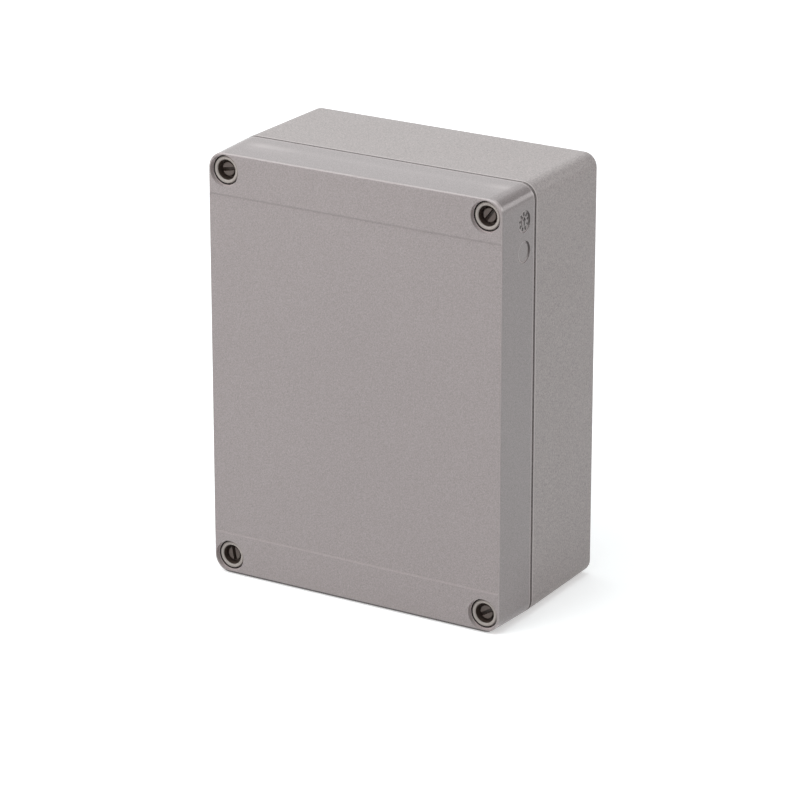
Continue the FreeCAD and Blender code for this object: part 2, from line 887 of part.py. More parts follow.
def make_corner_sets():
    """Screw, seal, retainer and inserts in each corner."""
    x = from_side("screw_side_inset")
    z = from_end("screw_end_inset")
    corners = [
        ("upper_left", -1, 1, -12),
        ("upper_right", 1, 1, -52),
        ("lower_left", -1, -1, 80),
        ("lower_right", 1, -1, -30),
    ]
    floor = recess_floor()
    top = lid_rim() + cell("retainer_sink")
    for corner, side, level, turn in corners:
        at_x = x if side > 0 else -x
        at_z = z if level > 0 else -z
        make_lid_screw("lid_screw_" + corner, at_x, at_z, turn)
        make_ring("screw_seal_" + corner, at_x, at_z, cell("seal_inner"), cell("seal_outer"),
                  floor, floor + cell("seal_thickness"), as_size(0.4))
        make_ring("screw_retainer_" + corner, at_x, at_z, cell("retainer_hole"),
                  cell("retainer_radius"), top - cell("retainer_thickness"), top, as_size(0.2))
        make_lid_insert("lid_insert_" + corner, at_x, at_z)
        boss_x = from_side("boss_side_inset") if side > 0 else -from_side("boss_side_inset")
        boss_z = from_end("boss_end_inset") if level > 0 else -from_end("boss_end_inset")
        make_plate_insert("plate_insert_" + corner, boss_x, boss_z)


def make_hinges():
    """Two hinges, one above the other, on the left side."""
    height = from_end("hinge_end_inset")
    for place, z in (("upper", height), ("lower", -height)):
        make_base_leaf("hinge_base_leaf_" + place, z)
        make_lid_leaf("hinge_lid_leaf_" + place, z)
        make_hinge_pin("hinge_pin_" + place, z)
        spread = cell("leaf_screw_spread")
        for row, shift in (("top", spread), ("bottom", -spread)):
            ending = "%s_%s" % (place, row)
            make_leaf_screw("base_leaf_screw_" + ending, base_screw_depth(), z + shift)
            make_leaf_screw("lid_leaf_screw_" + ending, lid_screw_depth(), z + shift)


def check_and_write():
    """Stop on any failed feature, then write every body to its own file."""
    doc.recompute()
    for thing in doc.Objects:
        if "Invalid" in thing.State or "Error" in thing.State:
            raise RuntimeError("failed: " + thing.Name + " " + str(thing.State))
    bodies = [b for b in doc.Objects if b.TypeId == "PartDesign::Body"]
    for body in bodies:
        shape = body.Shape
        if shape.isNull() or not shape.isValid() or len(shape.Solids) != 1:
            raise RuntimeError("not one valid solid: " + body.Label)
    for body in bodies:
        body.Shape.exportStep("parts/" + body.Label + ".step")
    return bodies


make_base_shell()
make_lid_shell()
make_gasket()
make_corner_sets()
make_hinges()
for made in check_and_write():
    print("%-36s %12.1f mm3" % (made.Label, made.Shape.Volume))
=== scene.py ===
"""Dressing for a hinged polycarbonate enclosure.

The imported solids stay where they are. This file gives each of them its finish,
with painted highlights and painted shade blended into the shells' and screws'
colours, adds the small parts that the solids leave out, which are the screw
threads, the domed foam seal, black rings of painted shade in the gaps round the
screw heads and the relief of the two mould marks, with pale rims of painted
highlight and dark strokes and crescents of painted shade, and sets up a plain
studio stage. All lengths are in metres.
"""
import math

import bpy
import numpy as np
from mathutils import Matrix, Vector


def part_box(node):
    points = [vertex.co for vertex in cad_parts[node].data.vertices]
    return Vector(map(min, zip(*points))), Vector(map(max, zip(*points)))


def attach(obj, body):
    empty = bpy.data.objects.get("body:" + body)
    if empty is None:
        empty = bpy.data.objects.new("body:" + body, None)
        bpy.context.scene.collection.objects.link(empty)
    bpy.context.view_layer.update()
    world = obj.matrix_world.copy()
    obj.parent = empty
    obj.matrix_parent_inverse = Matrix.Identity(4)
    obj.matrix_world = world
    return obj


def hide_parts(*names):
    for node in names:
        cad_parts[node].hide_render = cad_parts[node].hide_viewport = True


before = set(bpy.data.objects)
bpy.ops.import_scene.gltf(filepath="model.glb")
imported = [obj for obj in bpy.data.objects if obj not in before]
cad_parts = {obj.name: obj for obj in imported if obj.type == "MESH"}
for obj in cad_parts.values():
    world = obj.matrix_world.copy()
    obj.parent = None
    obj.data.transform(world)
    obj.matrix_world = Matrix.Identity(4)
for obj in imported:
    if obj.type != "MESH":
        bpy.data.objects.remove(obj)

bl_info = {
    "name": "Enclosure Dressing",
    "version": (1, 0, 0),
    "blender": (4, 5, 0),
    "location": "3D View > Sidebar > Enclosure",
    "description": "Finishes and small parts of a hinged enclosure, and its stage",
    "category": "Object",
}

CORNERS = ("upper_left", "upper_right", "lower_left", "lower_right")
HINGES = ("upper", "lower")

# Places that the finishes and the stage refer to, in metres.
HALF_WIDTH = 0.075
LID_SPAN_Y = (-0.085, -0.057)
# From the rim on each side of the seam, 2 mm away from the seam, where a painted highlight runs.
LID_RIM_Y = (-0.0576, -0.0596)
BASE_RIM_Y = (-0.0564, -0.0544)
# The face's last 2 mm above its lower edge, where the lid is darkened as painted shade.
LOWER_EDGE_Z = (-0.0995, -0.0975)
# The screw recesses, which the lid lightens as painted light: from before the face to
# behind the shelf, and from their inner to their outer walls; then half the spans of their masks.
RECESS_Y = (-0.0851, -0.0828)
RECESS_X = (0.0588, 0.0737)
RECESS_Z = (0.0838, 0.0987)
RECESS_SPAN_X = 0.076
RECESS_SPAN_Z = 0.101
# The threaded part of a captive screw, measured from its end.
THREAD_FROM_END = (0.0008, 0.0072)
FLOOR_HALF_WIDTH = 6.0
FLOOR_NEAR_GLOW = 0.45
CARD_CORNERS = ((0.08, 0.9, 0.55), (0.80, 0.78, 0.55), (0.80, 0.78, 0.85), (0.08, 0.9, 0.85))
# Name, place, the point that the lamp looks at, its two sides, and colour.
LAMPS = (
    ("top_lamp", (-0.15, -0.25, 1.3), (0, -0.04, 0), (1.4, 1.4), (0.88, 1.0, 1.03)),
    ("front_lamp", (-0.7, -1.2, 0.8), (0, -0.05, 0), (1.2, 1.2), (1.0, 0.98, 0.985)),
    ("side_lamp", (0.93, 1.22, 0.50), (0.07, -0.07, 0.09), (0.5, 0.42), (1.0, 0.96, 0.96)),
)


# ---------------------------------------------------------------- settings


class ShellFinish(bpy.types.PropertyGroup):
    """Colour and grain of the moulded housing."""

    base_colour: bpy.props.FloatVectorProperty(
        name="Base colour", description="Grey of the deep half",
        subtype="COLOR", size=3, min=0, max=1, default=(0.357, 0.313, 0.305))
    lid_colour: bpy.props.FloatVectorProperty(
        name="Lid colour", description="Grey of the lid",
        subtype="COLOR", size=3, min=0, max=1, default=(0.298, 0.259, 0.255))
    base_roughness: bpy.props.FloatProperty(
        name="Base roughness", description="Sheen of the deep half",
        subtype="FACTOR", min=0, max=1, default=0.42)
    lid_roughness: bpy.props.FloatProperty(
        name="Lid roughness", description="Sheen of the lid",
        subtype="FACTOR", min=0, max=1, default=0.17)
    speckle: bpy.props.FloatProperty(
        name="Speckle", description="How far the fine speckle swings round the colour",
        subtype="FACTOR", min=0, max=1, default=0.28)
    panel_z: bpy.props.FloatProperty(
        name="Panel line", description="Height of the steps across the lid's face",
        unit="LENGTH", min=0, default=0.0802)
    grain: bpy.props.FloatProperty(
        name="Grain", description="Size of the moulded grain",
        subtype="DISTANCE", unit="LENGTH", min=0.0001, max=0.01, default=0.0006)


class SmallPartFinish(bpy.types.PropertyGroup):
    """Colours of the screws, seals, inserts and pins."""

    screw_colour: bpy.props.FloatVectorProperty(
        name="Screw colour", description="Warm light grey of the captive screws",
        subtype="COLOR", size=3, min=0, max=1, default=(0.370, 0.332, 0.305))
    # painted shade: the screw plastic darkened inside the socket
    socket_shade_colour: bpy.props.FloatVectorProperty(
        name="Socket colour", description="Darker tone inside a screw's socket",
        subtype="COLOR", size=3, min=0, max=1, default=(0.078, 0.056, 0.046))
    socket_radius: bpy.props.FloatProperty(
        name="Socket radius", description="Radius of the hollow in a screw's head",
        unit="LENGTH", min=0.001, default=0.0046)
    seal_colour: bpy.props.FloatVectorProperty(
        name="Seal colour", description="Black of the foamed seal and rings",
        subtype="COLOR", size=3, min=0, max=1, default=(0.016, 0.016, 0.017))
    brass_colour: bpy.props.FloatVectorProperty(
        name="Brass colour", description="Metal of the inserts",
        subtype="COLOR", size=3, min=0, max=1, default=(0.72, 0.50, 0.20))
    steel_colour: bpy.props.FloatVectorProperty(
        name="Steel colour", description="Metal of the pins and small screws",
        subtype="COLOR", size=3, min=0, max=1, default=(0.56, 0.56, 0.57))


class ThreadSizes(bpy.types.PropertyGroup):
    """The four-start thread on a captive screw."""

    crest: bpy.props.FloatProperty(
        name="Crest radius", description="Outer radius of the thread",
        unit="LENGTH", min=0.001, max=0.01, default=0.00272)
    root: bpy.props.FloatProperty(
        name="Root radius", description="Inner radius of the thread",
        unit="LENGTH", min=0.001, max=0.01, default=0.00244)
    pitch: bpy.props.FloatProperty(
        name="Pitch", description="Distance from one crest to the next",
        unit="LENGTH", min=0.0002, max=0.005, default=0.001)
    starts: bpy.props.IntProperty(
        name="Starts", description="How many ridges run side by side",
        min=1, max=8, default=4)


class SealSizes(bpy.types.PropertyGroup):
    """The foamed seal that lies in the lid's groove."""

    half_width: bpy.props.FloatProperty(
        name="Half width", description="From the middle to the long runs",
        unit="LENGTH", default=0.0713)
    half_height: bpy.props.FloatProperty(
        name="Half height", description="From the middle to the short runs",
        unit="LENGTH", default=0.0963)
    step_x: bpy.props.FloatProperty(
        name="Step across", description="Where the outline steps in, along X",
        unit="LENGTH", default=0.0553)
    step_z: bpy.props.FloatProperty(
        name="Step up", description="Where the outline steps in, along Z",
        unit="LENGTH", default=0.0673)
    outward: bpy.props.FloatProperty(
        name="Outward corner", description="Radius of the eight corners that turn outwards",
        unit="LENGTH", min=0.0005, default=0.0039)
    inward: bpy.props.FloatProperty(
        name="Inward corner", description="Radius of the four corners that turn inwards",
        unit="LENGTH", min=0.0005, default=0.0033)
    width: bpy.props.FloatProperty(
        name="Width", description="Width of the seal",
        unit="LENGTH", min=0.0005, default=0.0035)
    floor_y: bpy.props.FloatProperty(
        name="Groove floor", description="Place of the groove's floor along Y",
        unit="LENGTH", default=-0.0625)
    height: bpy.props.FloatProperty(
        name="Height", description="From the groove's floor to the crown",
        unit="LENGTH", min=0.0005, default=0.0029)


class GapShadeSizes(bpy.types.PropertyGroup):
    """The black ring of painted shade that shows as a line round each captive screw's head."""

    radius: bpy.props.FloatProperty(
        name="Radius", description="From the screw's axis to the crest of the lip",
        unit="LENGTH", min=0.001, default=0.00655)
    half_width: bpy.props.FloatProperty(
        name="Half width", description="Half the width of the lip",
        unit="LENGTH", min=0.0001, default=0.00023)
    shelf_y: bpy.props.FloatProperty(
        name="Shelf", description="Place of the recess shelf along Y",
        unit="LENGTH", default=-0.083)
    height: bpy.props.FloatProperty(
        name="Height", description="How far the lip stands out of the shelf",
        unit="LENGTH", min=0.00005, default=0.00018)


class MarkSizes(bpy.types.PropertyGroup):
    """The two round mould marks on the lid's right side."""

    centre_y: bpy.props.FloatProperty(
        name="Depth place", description="Place of both marks along Y",
        unit="LENGTH", default=-0.0662)
    high_z: bpy.props.FloatProperty(
        name="Upper height", description="Height of the dial",
        unit="LENGTH", default=0.0857)
    low_z: bpy.props.FloatProperty(
        name="Lower height", description="Height of the plain disc",
        unit="LENGTH", default=0.0721)
    radius: bpy.props.FloatProperty(
        name="Radius", description="Outer radius of a mark",
        unit="LENGTH", default=0.0049)
    floor_x: bpy.props.FloatProperty(
        name="Floor", description="Place of the marks' floor along X",
        unit="LENGTH", default=0.07445)


class StageSettings(bpy.types.PropertyGroup):
    """Floor, lamps and camera."""

    azimuth: bpy.props.FloatProperty(
        name="Azimuth", description="Camera angle to the right of the front",
        subtype="ANGLE", default=math.radians(31.104))
    elevation: bpy.props.FloatProperty(
        name="Elevation", description="Camera angle above the horizon",
        subtype="ANGLE", default=math.radians(19.93))
    distance: bpy.props.FloatProperty(
        name="Distance", description="From the camera to the point it looks at",
        unit="LENGTH", default=1.745582)
    target: bpy.props.FloatVectorProperty(
        name="Target", description="The point in the middle of the picture",
        subtype="TRANSLATION", size=3, default=(0.024056, -0.085, 0.001072))
    lens: bpy.props.FloatProperty(
        name="Lens", description="Focal length on a 36 mm sensor, in mm",
        min=10, max=2000, default=180.0)
    key_power: bpy.props.FloatProperty(
        name="Top lamp", description="Power of the large lamp overhead",
        subtype="POWER", min=0, default=13.1)
    front_power: bpy.props.FloatProperty(
        name="Front lamp", description="Power of the lamp at the front left",
        subtype="POWER", min=0, default=12.0)
    side_power: bpy.props.FloatProperty(
        name="Side lamp", description="Power of the weak lamp at the right",
        subtype="POWER", min=0, default=1.4)
    ambient: bpy.props.FloatProperty(
        name="Ambient", description="Level of the light from all round",
        min=0, default=0.40)


# ------------------------------------------------------------ node helpers


def new_material(name):
    """A node material with its Principled shader, ready for textures."""
    mat = bpy.data.materials.new(name)
    mat.use_nodes = True
    return mat, mat.node_tree, main_shader(mat)


def main_shader(mat):
    """The Principled shader of a material."""
    return next(n for n in mat.node_tree.nodes if n.type == "BSDF_PRINCIPLED")


def set_specular(mat, level):
    """Set how strongly a plastic or rubber mirrors its surroundings."""
    main_shader(mat).inputs["Specular IOR Level"].default_value = level


def coordinates(tree, kind="Object"):
    """A socket with the object's own coordinates or its own normals."""
    return tree.nodes.new("ShaderNodeTexCoord").outputs[kind]


def one_axis(tree, axis, kind="Object"):
    """One axis of those coordinates or normals."""
    split = tree.nodes.new("ShaderNodeSeparateXYZ")
    tree.links.new(coordinates(tree, kind), split.inputs["Vector"])
    return split.outputs[axis]


def add_math(tree, operation, *values):
    """A math node; each value is a socket or a number."""
    node = tree.nodes.new("ShaderNodeMath")
    node.operation = operation
    for entry, value in zip(node.inputs, values):
        if isinstance(value, bpy.types.NodeSocket):
            tree.links.new(value, entry)
        else:
            entry.default_value = value
    return node.outputs["Value"]


def add_vector_math(tree, operation, first, second=None):
    """A vector math node; the second value is a socket, a vector or left out."""
    node = tree.nodes.new("ShaderNodeVectorMath")
    node.operation = operation
    tree.links.new(first, node.inputs[0])
    if isinstance(second, bpy.types.NodeSocket):
        tree.links.new(second, node.inputs[1])
    elif second is not None:
        node.inputs[1].default_value = second
    return node


def add_noise(tree, scale, detail=3.0, rough=0.5):
    """A noise on object coordinates, turned so that no flat wall follows its lattice."""
    mapping = tree.nodes.new("ShaderNodeMapping")
    mapping.inputs["Rotation"].default_value = (0.61, 0.37, 0.83)
    tree.links.new(coordinates(tree), mapping.inputs["Vector"])
    noise = tree.nodes.new("ShaderNodeTexNoise")
    noise.inputs["Scale"].default_value = scale
    noise.inputs["Detail"].default_value = detail
    noise.inputs["Roughness"].default_value = rough
    tree.links.new(mapping.outputs["Vector"], noise.inputs["Vector"])
    return noise.outputs["Fac"]


def add_ramp(tree, source, stops, ease=False):
    """A colour ramp fed by a socket; each stop is a place and a colour."""
    ramp = tree.nodes.new("ShaderNodeValToRGB")
    tree.links.new(source, ramp.inputs["Fac"])
    elements = ramp.color_ramp.elements
    while len(elements) < len(stops):
        elements.new(0.5)
    for element, (place, colour) in zip(elements, stops):
        element.position = place
        element.color = (*colour, 1.0)
    if ease:
        ramp.color_ramp.interpolation = "EASE"
    return ramp.outputs["Color"]


def add_tones(tree, source, colour, low, high):
    """A ramp between two tints; low and high are each a place and a factor."""
    stops = [(place, tinted(colour, factor)) for place, factor in (low, high)]
    return add_ramp(tree, source, stops)


def add_range(tree, source, low, high, start=0.0, end=1.0):
    """Spread a value that runs from start to end between two numbers."""
    node = tree.nodes.new("ShaderNodeMapRange")
    node.inputs["From Min"].default_value = start
    node.inputs["From Max"].default_value = end
    node.inputs["To Min"].default_value = low
    node.inputs["To Max"].default_value = high
    tree.links.new(source, node.inputs["Value"])
    return node.outputs["Result"]


def add_bump(tree, source, shader, depth):
    """A bump of the shader's surface, fed by a height."""
    bump = tree.nodes.new("ShaderNodeBump")
    bump.inputs["Strength"].default_value = 1.0
    bump.inputs["Distance"].default_value = depth
    tree.links.new(source, bump.inputs["Height"])
    tree.links.new(bump.outputs["Normal"], shader.inputs["Normal"])


def add_mix(tree, factor, source, colour):
    """A colour socket mixed towards a plain colour by a factor."""
    mix = tree.nodes.new("ShaderNodeMix")
    mix.data_type = "RGBA"
    tree.links.new(factor, mix.inputs["Factor"])
    tree.links.new(source, mix.inputs["A"])
    mix.inputs["B"].default_value = (*colour, 1.0)
    return mix.outputs["Result"]


def blend(tree, source, mask, strength, colour):
    """A colour socket mixed towards a plain colour by a mask and a strength."""
    return add_mix(tree, add_math(tree, "MULTIPLY", mask, strength), source, colour)


def tinted(colour, factor):
    """A colour made lighter or darker."""
    return tuple(min(1.0, c * factor) for c in colour)


def profile(tree, axis, low, high, stops, kind="Object"):
    """A smooth 0..1 curve along one axis of the object, between two places."""
    spread = add_range(tree, one_axis(tree, axis, kind), 0.0, 1.0, low, high)
    return add_ramp(tree, spread, [(at, (v, v, v)) for at, v in stops], ease=True)


def product(tree, sockets):
    """Several masks multiplied."""
    result = sockets[0]
    for socket in sockets[1:]:
        result = add_math(tree, "MULTIPLY", result, socket)
    return result


# ------------------------------------------------------------------- masks


def edge_highlight_mask(tree):
    """1 on rounded edges and along sharp rims, 0 on the flats and the walls; the shells are
    lightened there as a painted highlight.

    Rounded edges are found by the object's own normal, which lies between the
    depth direction and the sides there; sharp rims by a short bevel.
    """
    black, white = (0.0, 0.0, 0.0), (1.0, 1.0, 1.0)
    size = add_math(tree, "ABSOLUTE", one_axis(tree, "Y", "Normal"))
    rounded = add_ramp(tree, size, [
        (0.10, black), (0.35, white), (0.85, white), (0.98, black)])
    bevel = tree.nodes.new("ShaderNodeBevel")
    bevel.samples = 6
    bevel.inputs["Radius"].default_value = 0.00035
    true = tree.nodes.new("ShaderNodeNewGeometry")
    near = add_vector_math(tree, "DISTANCE", bevel.outputs["Normal"], true.outputs["Normal"])
    rim = add_ramp(tree, near.outputs["Value"], [(0.25, black), (0.7, white)])
    return add_math(tree, "MAXIMUM", rounded, rim)


def step_shade_highlight_mask(tree, height):
    """1 along a shallow step that runs across the lid's face, where the lid is darkened as painted
    shade at the upper step and lightened as a painted highlight at the lower one.
    """
    line = 0.0006
    across = profile(tree, "Z", height - line, height + line, [
        (0.0, 0.0), (0.33, 1.0), (0.67, 1.0), (1.0, 0.0)])
    front = profile(tree, "Y", -1.0, 0.0, [(0.02, 1.0), (0.2, 0.0)], kind="Normal")
    return product(tree, [across, front])


def lower_edge_shade_mask(tree):
    """1 on a hairline along the lower edge of the lid's face, darkened there as painted shade."""
    front = profile(tree, "Y", -1.0, 0.0, [(0.7, 1.0), (0.9, 0.0)], kind="Normal")
    low = profile(tree, "Z", *LOWER_EDGE_Z, [(0.42, 1.0), (0.6, 0.0)])
    return product(tree, [front, low])


def recess_light_mask(tree):
    """1 on the walls and the shelf of the four screw recesses, which the lid lightens as painted
    light.
    """
    deep = profile(tree, "Y", *RECESS_Y, [(0.12, 0.0), (0.2, 1.0), (0.9, 1.0), (1.0, 0.0)])
    masks = [deep]
    for axis, (inner, outer), half in (
            ("X", RECESS_X, RECESS_SPAN_X), ("Z", RECESS_Z, RECESS_SPAN_Z)):
        near = [(half + at) / (2 * half) for at in (-outer, -inner, inner, outer)]
        stops = []
        for low, high in ((near[0], near[1]), (near[2], near[3])):
            stops += [(low - 0.002, 0.0), (low, 1.0), (high, 1.0), (high + 0.002, 0.0)]
        masks.append(profile(tree, axis, -half, half, stops))
    return product(tree, masks)


def seam_highlight_line(tree, span):
    """1 along a hair's breadth beside the seam, lightened there as a painted highlight where a rim
    catches light.
    """
    return profile(tree, "Y", *span, [(0.14, 0.0), (0.2, 1.0), (0.45, 1.0), (0.62, 0.0)])


def seam_shade(tree):
    """1 on the small rounding of the rim that faces the seam's gap."""
    return profile(tree, "Y", -1.0, 0.0, [
        (0.02, 0.0), (0.08, 1.0), (0.75, 1.0), (0.9, 0.0)], kind="Normal")


def painted_sheen_mask(tree):
    """A painted highlight: a soft light band over the lid's upper wall, stronger near its ends."""
    over = profile(tree, "Y", *LID_SPAN_Y, [(0.25, 0.0), (0.48, 0.35), (0.6, 1.0), (0.8, 0.0)])
    along = profile(tree, "X", -HALF_WIDTH, HALF_WIDTH, [
        (0.05, 0.1), (0.12, 1.0), (0.18, 0.7), (0.27, 0.2),
        (0.86, 0.2), (0.935, 0.85), (0.97, 0.1)])
    up = profile(tree, "Z", 0.0, 1.0, [(0.9, 0.0), (0.98, 1.0)], kind="Normal")
    return product(tree, [over, along, up])


# --------------------------------------------------------------- materials


def moulded_plastic(name, colour, roughness, grain, grain_depth, flecks, speckle):
    """Moulded polycarbonate: slow tone changes, a fine grain and a few flecks.

    It returns the material and the socket of its colour, to be blended further.
    """
    mat, tree, shader = new_material(name)
    slow = add_noise(tree, 14.0, 2.0, 0.5)
    wide = add_tones(tree, slow, colour, (0.30, 0.985), (0.70, 1.015))
    dots = add_noise(tree, 1.0 / grain, 4.0, 0.85)
    swing = add_range(tree, dots, 1.0 - speckle, 1.0 + speckle, 0.3, 0.7)
    body = add_vector_math(tree, "SCALE", wide)
    tree.links.new(swing, body.inputs["Scale"])
    speck = add_noise(tree, 1.1 / grain, 2.0, 0.6)
    mask = add_ramp(tree, speck, [(0.22, (1.0, 1.0, 1.0)), (0.30, (0.0, 0.0, 0.0))])
    tinge = blend(tree, body.outputs["Vector"], mask, flecks, tinted(colour, 0.55))
    tree.links.new(tinge, shader.inputs["Base Color"])
    sheen = add_noise(tree, 60.0, 3.0, 0.6)
    gloss = add_range(tree, sheen, roughness - 0.05, roughness + 0.05)
    tree.links.new(gloss, shader.inputs["Roughness"])
    add_bump(tree, add_noise(tree, 1.0 / grain, 4.0, 0.65), shader, grain_depth)
    shader.inputs["IOR"].default_value = 1.5
    return mat, tinge


def shade_over(mat, tinge, colour, layers):
    """Blend painted highlights and painted shade over a plastic; a layer is a mask, its place,
    strength and tint.
    """
    tree = mat.node_tree
    for mask, place, strength, factor in layers:
        tinge = blend(tree, tinge, mask(tree, *place), strength, tinted(colour, factor))
    tree.links.new(tinge, main_shader(mat).inputs["Base Color"])


def from_axis(tree, axis_x, axis_z):
    """Distance from the nearest of four axes along Y, at (+-axis_x, +-axis_z)."""
    fold = add_vector_math(tree, "ABSOLUTE", coordinates(tree))
    shift = add_vector_math(tree, "SUBTRACT", fold.outputs["Vector"], (axis_x, 0.0, axis_z))
    flat = add_vector_math(tree, "MULTIPLY", shift.outputs["Vector"], (1.0, 0.0, 1.0))
    return add_vector_math(tree, "LENGTH", flat.outputs["Vector"]).outputs["Value"]


def screw_plastic(name, colour, socket_shade_colour, top, socket_radius):
    """Smooth screw plastic with painted shade down inside the hollow head."""
    mat, tree, shader = new_material(name)
    below = profile(tree, "Y", top.y, top.y + 0.001, [(0.1, 0.0), (0.9, 1.0)])
    distance = from_axis(tree, abs(top.x), abs(top.z))
    within = add_range(tree, distance, 0.0, 1.0, socket_radius + 0.0005, socket_radius + 0.0002)
    slow = add_noise(tree, 400.0, 2.0, 0.5)
    tone = add_tones(tree, slow, colour, (0.3, 0.96), (0.7, 1.04))
    tinge = add_mix(tree, product(tree, [below, within]), tone, socket_shade_colour)
    tree.links.new(tinge, shader.inputs["Base Color"])
    shader.inputs["Roughness"].default_value = 0.42
    add_bump(tree, add_noise(tree, 1500.0, 3.0, 0.6), shader, 0.000012)
    return mat


def foam_rubber(name, colour, cell, specular=0.5):
    """Black foam or rubber with small pores."""
    mat, tree, shader = new_material(name)
    pores = add_noise(tree, 1.0 / cell, 3.0, 0.7)
    tone = add_tones(tree, pores, colour, (0.35, 0.6), (0.65, 1.7))
    tree.links.new(tone, shader.inputs["Base Color"])
    shader.inputs["Roughness"].default_value = 0.78
    set_specular(mat, specular)
    add_bump(tree, pores, shader, cell * 0.12)
    return mat


def turned_metal(name, colour, roughness):
    """Turned metal with a very fine grain and slight stains."""
    mat, tree, shader = new_material(name)
    stain = add_noise(tree, 500.0, 3.0, 0.6)
    tone = add_tones(tree, stain, colour, (0.3, 0.82), (0.7, 1.08))
    tree.links.new(tone, shader.inputs["Base Color"])
    shader.inputs["Metallic"].default_value = 1.0
    fine = add_noise(tree, 4000.0, 2.0, 0.5)
    gloss = add_range(tree, fine, roughness - 0.08, roughness + 0.08)
    tree.links.new(gloss, shader.inputs["Roughness"])
    add_bump(tree, fine, shader, 0.000008)
    return mat


def dress(node, mat):
    """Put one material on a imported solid."""
    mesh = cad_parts[node].data
    mesh.materials.clear()
    mesh.materials.append(mat)


# ------------------------------------------------------------ mesh helpers


def grid_faces(rows, columns, close_rows=False, close_columns=False):
    """Quads of a grid of points, with either direction joined to itself."""
    r = np.arange(rows if close_rows else rows - 1)
    c = np.arange(columns if close_columns else columns - 1)
    rr, cc = np.meshgrid(r, c, indexing="ij")
    r2, c2 = (rr + 1) % rows, (cc + 1) % columns
    corners = [rr * columns + cc, rr * columns + c2, r2 * columns + c2, r2 * columns + cc]
    return np.stack(corners, axis=-1).reshape(-1, 4)


def place_object(name, data):
    """A new object in the scene's collection."""
    thing = bpy.data.objects.new(name, data)
    bpy.context.collection.objects.link(thing)
    return thing


def make_piece(name, points, faces, mat, body, smooth=True):
    """A mesh object from arrays of points and faces, riding on a body."""
    mesh = bpy.data.meshes.new(name)
    mesh.from_pydata(points.tolist(), [], faces.tolist())
    mesh.validate()
    mesh.polygons.foreach_set("use_smooth", np.full(len(mesh.polygons), smooth))
    mesh.materials.append(mat)
    mesh.update()
    piece = place_object(name, mesh)
    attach(piece, body)
    return piece


def node_centre(node):
    """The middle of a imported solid's box."""
    low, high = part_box(node)
    return (low + high) / 2


# --------------------------------------------------------------- operators


class ENCLOSURE_OT_finish_shells(bpy.types.Operator):
    """Give the base, the lid and the hinge leaves their moulded grey, with painted highlights and
    painted shade on the base and the lid
    """

    bl_idname = "enclosure.finish_shells"
    bl_label = "Finish Shells"

    def execute(self, context):
        finish = context.scene.enclosure_shell
        base, tinge = moulded_plastic(
            "grained_grey", finish.base_colour, finish.base_roughness, 1.2 * finish.grain,
            grain_depth=0.00003, flecks=0.3, speckle=1.7 * finish.speckle)
        shade_over(base, tinge, finish.base_colour, [
            # painted highlight on the base's edges
            (edge_highlight_mask, (), 0.25, 2.0),
            # painted highlight beside the seam on the base
            (seam_highlight_line, (BASE_RIM_Y,), 0.6, 1.8),
            (seam_shade, (), 0.8, 0.12)])
        lid, tinge = moulded_plastic(
            "smooth_grey", finish.lid_colour, finish.lid_roughness, finish.grain,
            grain_depth=0.000012, flecks=0.28, speckle=finish.speckle)
        shade_over(lid, tinge, finish.lid_colour, [
            # painted highlight on the lid's edges
            (edge_highlight_mask, (), 0.4, 2.0),
            # painted shade along the upper step line
            (step_shade_highlight_mask, (finish.panel_z,), 0.35, 0.55),
            # painted highlight along the lower step line
            (step_shade_highlight_mask, (-finish.panel_z,), 0.3, 1.7),
            # painted shade along the face's lower edge
            (lower_edge_shade_mask, (), 0.85, 0.1),
            # painted sheen over the lid's upper wall
            (painted_sheen_mask, (), 0.45, 1.9),
            # painted highlight beside the seam on the lid
            (seam_highlight_line, (LID_RIM_Y,), 0.5, 1.8),
            # painted light on the screw recesses' walls and shelves
            (recess_light_mask, (), 0.7, 1.9)])
        set_specular(lid, 0.52)
        dress("base_shell", base)
        dress("lid_shell", lid)
        leaf, _ = moulded_plastic(
            "hinge_grey", finish.base_colour, finish.base_roughness, finish.grain,
            grain_depth=0.00002, flecks=0.2, speckle=0.5 * finish.speckle)
        for hinge in HINGES:
            dress("hinge_base_leaf_" + hinge, leaf)
            dress("hinge_lid_leaf_" + hinge, leaf)
        return {"FINISHED"}


class ENCLOSURE_OT_finish_screws(bpy.types.Operator):
    """Give the captive screws their warm plastic, with painted shade inside the sockets"""

    bl_idname = "enclosure.finish_screws"
    bl_label = "Finish Screws"

    def execute(self, context):
        finish = context.scene.enclosure_small
        top = node_centre("lid_screw_upper_left")
        top.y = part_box("lid_screw_upper_left")[0].y
        warm = screw_plastic("screw_plastic", finish.screw_colour, finish.socket_shade_colour, top,
                             finish.socket_radius)
        for corner in CORNERS:
            dress("lid_screw_" + corner, warm)
        return {"FINISHED"}


class ENCLOSURE_OT_finish_seals(bpy.types.Operator):
    """Give the foamed seal, the sealing rings and the retainers their black"""

    bl_idname = "enclosure.finish_seals"
    bl_label = "Finish Seals"

    def execute(self, context):
        finish = context.scene.enclosure_small
        foam = foam_rubber("foamed_seal", finish.seal_colour, 0.0005)
        ring = foam_rubber("ring_rubber", finish.seal_colour, 0.0002, specular=0.15)
        dark, _ = moulded_plastic(
            "retainer_black", (0.035, 0.035, 0.036), roughness=0.5, grain=0.0004,
            grain_depth=0.00001, flecks=0.0, speckle=0.1)
        dress("lid_gasket", foam)
        for corner in CORNERS:
            dress("screw_seal_" + corner, ring)
            dress("screw_retainer_" + corner, dark)
        return {"FINISHED"}


